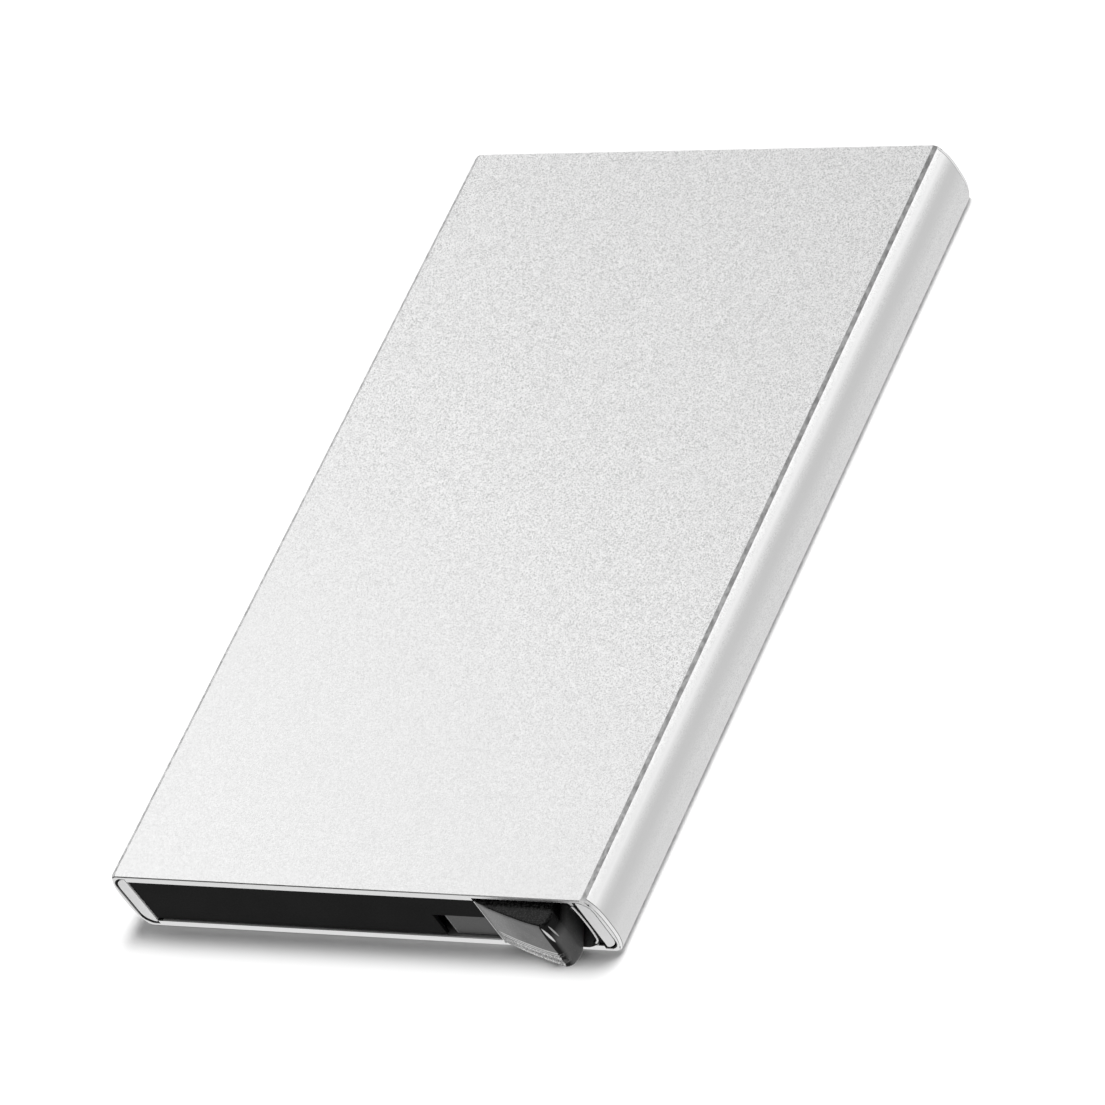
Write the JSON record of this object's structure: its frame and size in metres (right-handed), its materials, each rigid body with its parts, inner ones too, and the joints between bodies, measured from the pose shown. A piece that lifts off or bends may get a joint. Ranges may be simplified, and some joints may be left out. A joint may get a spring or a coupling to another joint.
{
  "type": "pop-up card holder",
  "caption": "Slim aluminium sleeve for payment cards, with a thumb lever in the end plate that pushes the cards out as a stepped fan.",
  "frame": {"origin": "middle of the sleeve's rear face, on which the holder lies", "axes": "+Y from the lever end to the mouth where the cards come out, +X towards the side of the lever, +Z out of the front face"},
  "size_m": [0.063, 0.1028, 0.0085],
  "materials": {
    "sand_blasted_aluminium": "sand-blasted and anodised, silver",
    "light_grey_plastic": "fine matt",
    "matt_black_plastic": "fine matt",
    "grey_lever_plastic": "satin",
    "gloss_black_plastic": "polished tip, finely ribbed ramp",
    "strip_rubber": "matt",
    "plain_steel": "plain"
  },
  "bodies": {
    "case": {"sleeve": "sand_blasted_aluminium", "side_rail_left": "light_grey_plastic", "side_rail_right": "light_grey_plastic", "friction_strip_left": "strip_rubber", "friction_strip_right": "strip_rubber", "end_cap": "matt_black_plastic", "mechanism_cover": "matt_black_plastic", "cover_screw_left": "plain_steel", "cover_screw_middle": "plain_steel", "cover_screw_right": "plain_steel", "pivot_pin": "plain_steel", "return_spring": "plain_steel"},
    "lever": {"eject_lever": "grey_lever_plastic", "thumb_cap": "gloss_black_plastic"}
  },
  "joints": [
    {"name": "lever_pivot", "type": "hinge", "parent": "case", "child": "lever", "pos_m": [0.0125, -0.042, 0.0042], "axis": [0, 0, -1], "range_deg": [0, 30], "stiffness_Nm_per_rad": 0.02, "springref_deg": -20.05, "deforming": ["return_spring"]}
  ]
}
